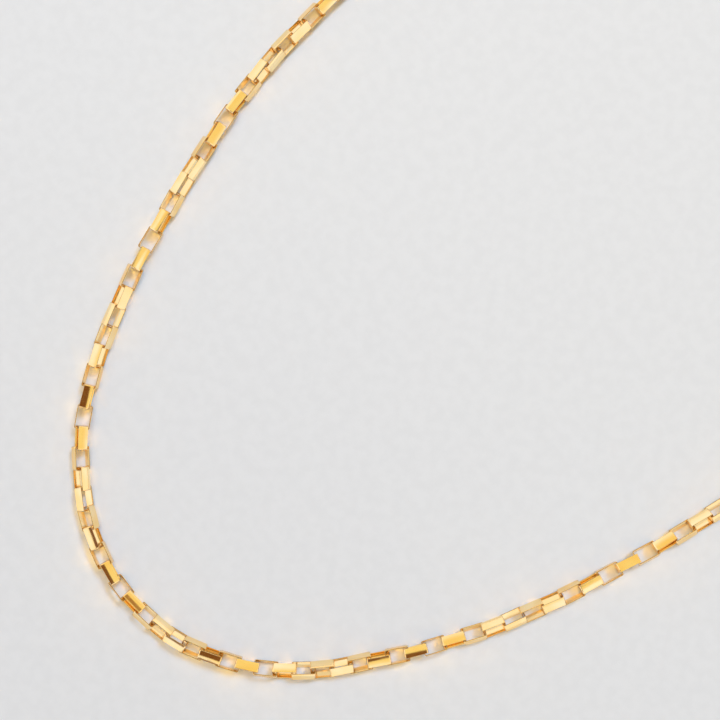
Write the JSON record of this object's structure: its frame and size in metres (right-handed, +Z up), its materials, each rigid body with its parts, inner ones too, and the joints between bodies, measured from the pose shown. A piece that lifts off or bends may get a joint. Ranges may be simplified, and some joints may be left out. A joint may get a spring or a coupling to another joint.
{
  "type": "elongated box chain necklace",
  "caption": "Necklace of long rectangular box links bent from flat strip, each turned a quarter to the next, laid flat as a closed loop with a plain clasp.",
  "frame": {"origin": "middle of the underside of the whole loop's box, on the surface that the necklace lies on", "axes": "+Y from the front of the necklace to the clasp at its back, +X to the right seen from above with the clasp away from the viewer, +Z up off the surface"},
  "size_m": [0.111, 0.1746, 0.0029],
  "materials": {
    "gold": "polished yellow gold plating"
  },
  "bodies": {
    "root": {"chain": "gold", "clasp": "gold"}
  },
  "joints": []
}
